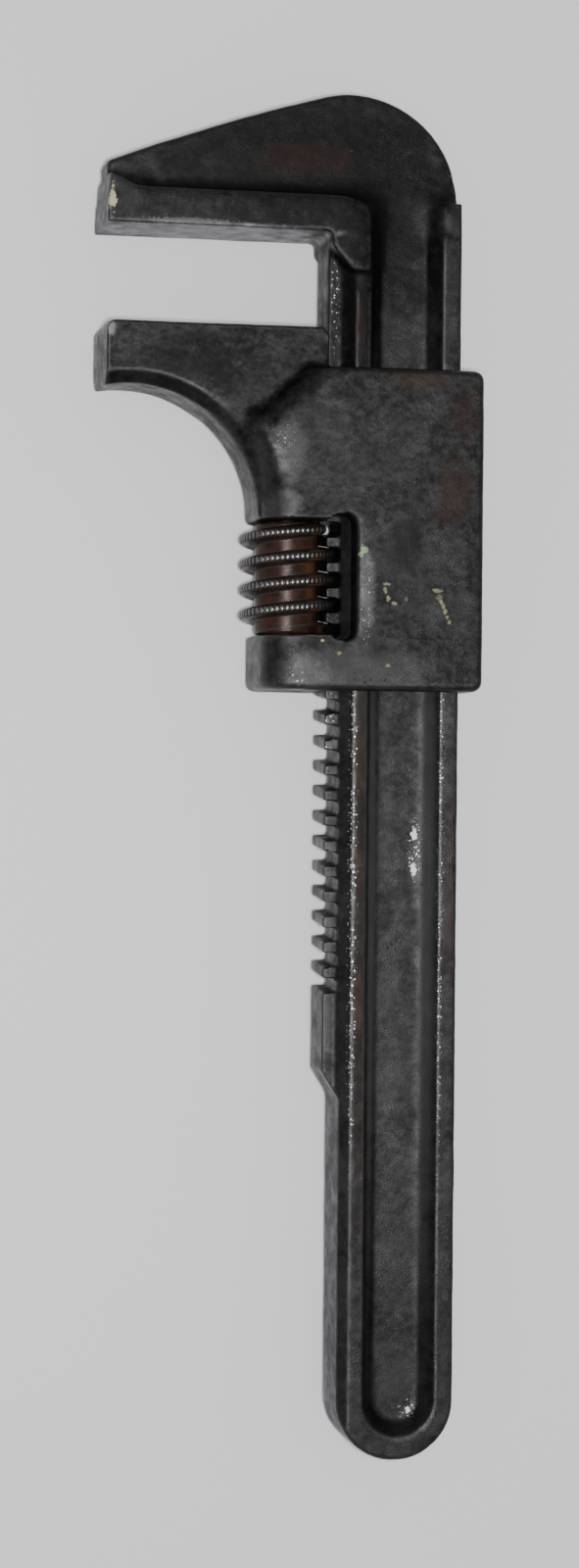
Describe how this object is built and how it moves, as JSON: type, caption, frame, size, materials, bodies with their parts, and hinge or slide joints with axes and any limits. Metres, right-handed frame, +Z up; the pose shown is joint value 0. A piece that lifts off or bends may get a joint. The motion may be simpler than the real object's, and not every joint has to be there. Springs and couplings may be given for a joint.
{
  "type": "adjustable wrench",
  "caption": "Forged auto-pattern adjustable wrench: flanged handle and toothed shank with a fixed jaw, a jaw on a sliding sleeve, and a knurled worm that drives it along the rack.",
  "frame": {"origin": "on the bench, under the middle of the wrench's length and width, with the wrench lying on the back of its sleeve", "axes": "+X from the jaws' tips to the wrench's back, +Y from the handle's end to the head, +Z up from the bench"},
  "size_m": [0.0634, 0.2286, 0.022],
  "materials": {
    "bar_forging": "dark oxidised forging, oiled, worn grey on its edges",
    "jaw_forging": "dark oxidised forging, mottled grey and brown",
    "worm_steel": "turned steel, rust-brown between worn knurled crests",
    "pin_steel": "plain dull steel"
  },
  "bodies": {
    "bar": {"fixed_jaw_bar": "bar_forging"},
    "jaw": {"sliding_jaw": "jaw_forging", "worm_pin": "pin_steel"},
    "worm": {"worm": "worm_steel"}
  },
  "joints": [
    {"name": "jaw_slide", "type": "slide", "parent": "bar", "child": "jaw", "axis": [0, 1, 0], "range_m": [-0.0625, 0.0159]},
    {"name": "worm_spin", "type": "hinge", "parent": "jaw", "child": "worm", "pos_m": [0.0002, 0.033, 0.011], "axis": [0, 1, 0], "range_deg": [-5320, 1356]}
  ],
  "couplings": [
    {"joint": "worm_spin", "follows": "jaw_slide", "rad_per_m": 1484.2}
  ]
}
